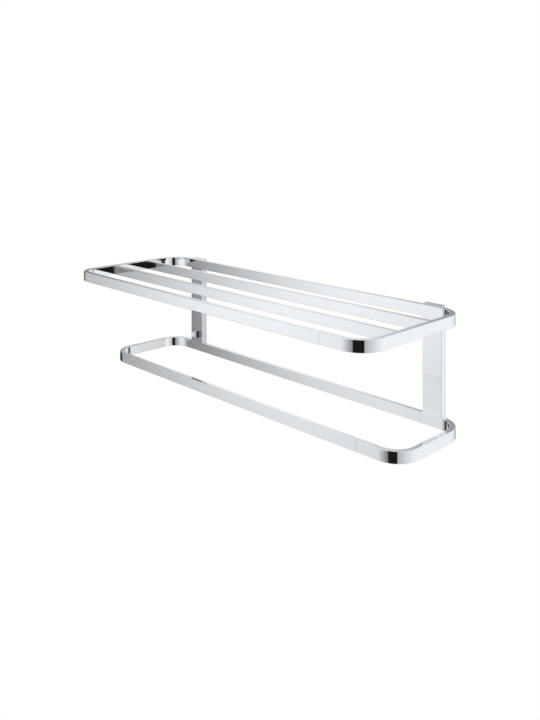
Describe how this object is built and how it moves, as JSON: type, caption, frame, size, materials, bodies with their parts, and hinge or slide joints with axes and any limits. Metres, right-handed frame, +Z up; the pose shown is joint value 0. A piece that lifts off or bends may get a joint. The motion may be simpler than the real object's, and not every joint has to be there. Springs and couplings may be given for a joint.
{
  "type": "towel rack",
  "caption": "Wall-mounted towel rack: a slatted shelf over a shallower towel loop, both of flat bar with rounded corners, carried on flat upright posts.",
  "frame": {"origin": "on the wall plane, halfway between the two posts and halfway up them", "axes": "+X to the right along the rack, +Y into the wall, +Z up; the rack stands out towards -Y"},
  "size_m": [0.6, 0.219, 0.159],
  "materials": {
    "chrome": "polished chrome plate, mirror bright",
    "steel": "plain turned stainless steel"
  },
  "bodies": {
    "root": {"shelf_frame_main": "chrome", "shelf_frame_end": "chrome", "shelf_slat_front": "chrome", "shelf_slat_rear": "chrome", "shelf_front_upper_splice_pin": "steel", "shelf_front_lower_splice_pin": "steel", "shelf_rear_upper_splice_pin": "steel", "shelf_rear_lower_splice_pin": "steel", "towel_loop_main": "chrome", "towel_loop_end": "chrome", "towel_front_upper_splice_pin": "steel", "towel_front_lower_splice_pin": "steel", "towel_rear_upper_splice_pin": "steel", "towel_rear_lower_splice_pin": "steel", "post_cover_left": "chrome", "post_cover_right": "chrome", "wall_bracket_left": "chrome", "wall_bracket_right": "chrome", "shelf_screw_left_outer": "steel", "shelf_screw_left_inner": "steel", "shelf_screw_right_outer": "steel", "shelf_screw_right_inner": "steel", "towel_screw_left_outer": "steel", "towel_screw_left_inner": "steel", "towel_screw_right_outer": "steel", "towel_screw_right_inner": "steel", "grub_screw_left_outer": "steel", "grub_screw_left_inner": "steel", "grub_screw_right_outer": "steel", "grub_screw_right_inner": "steel"}
  },
  "joints": []
}
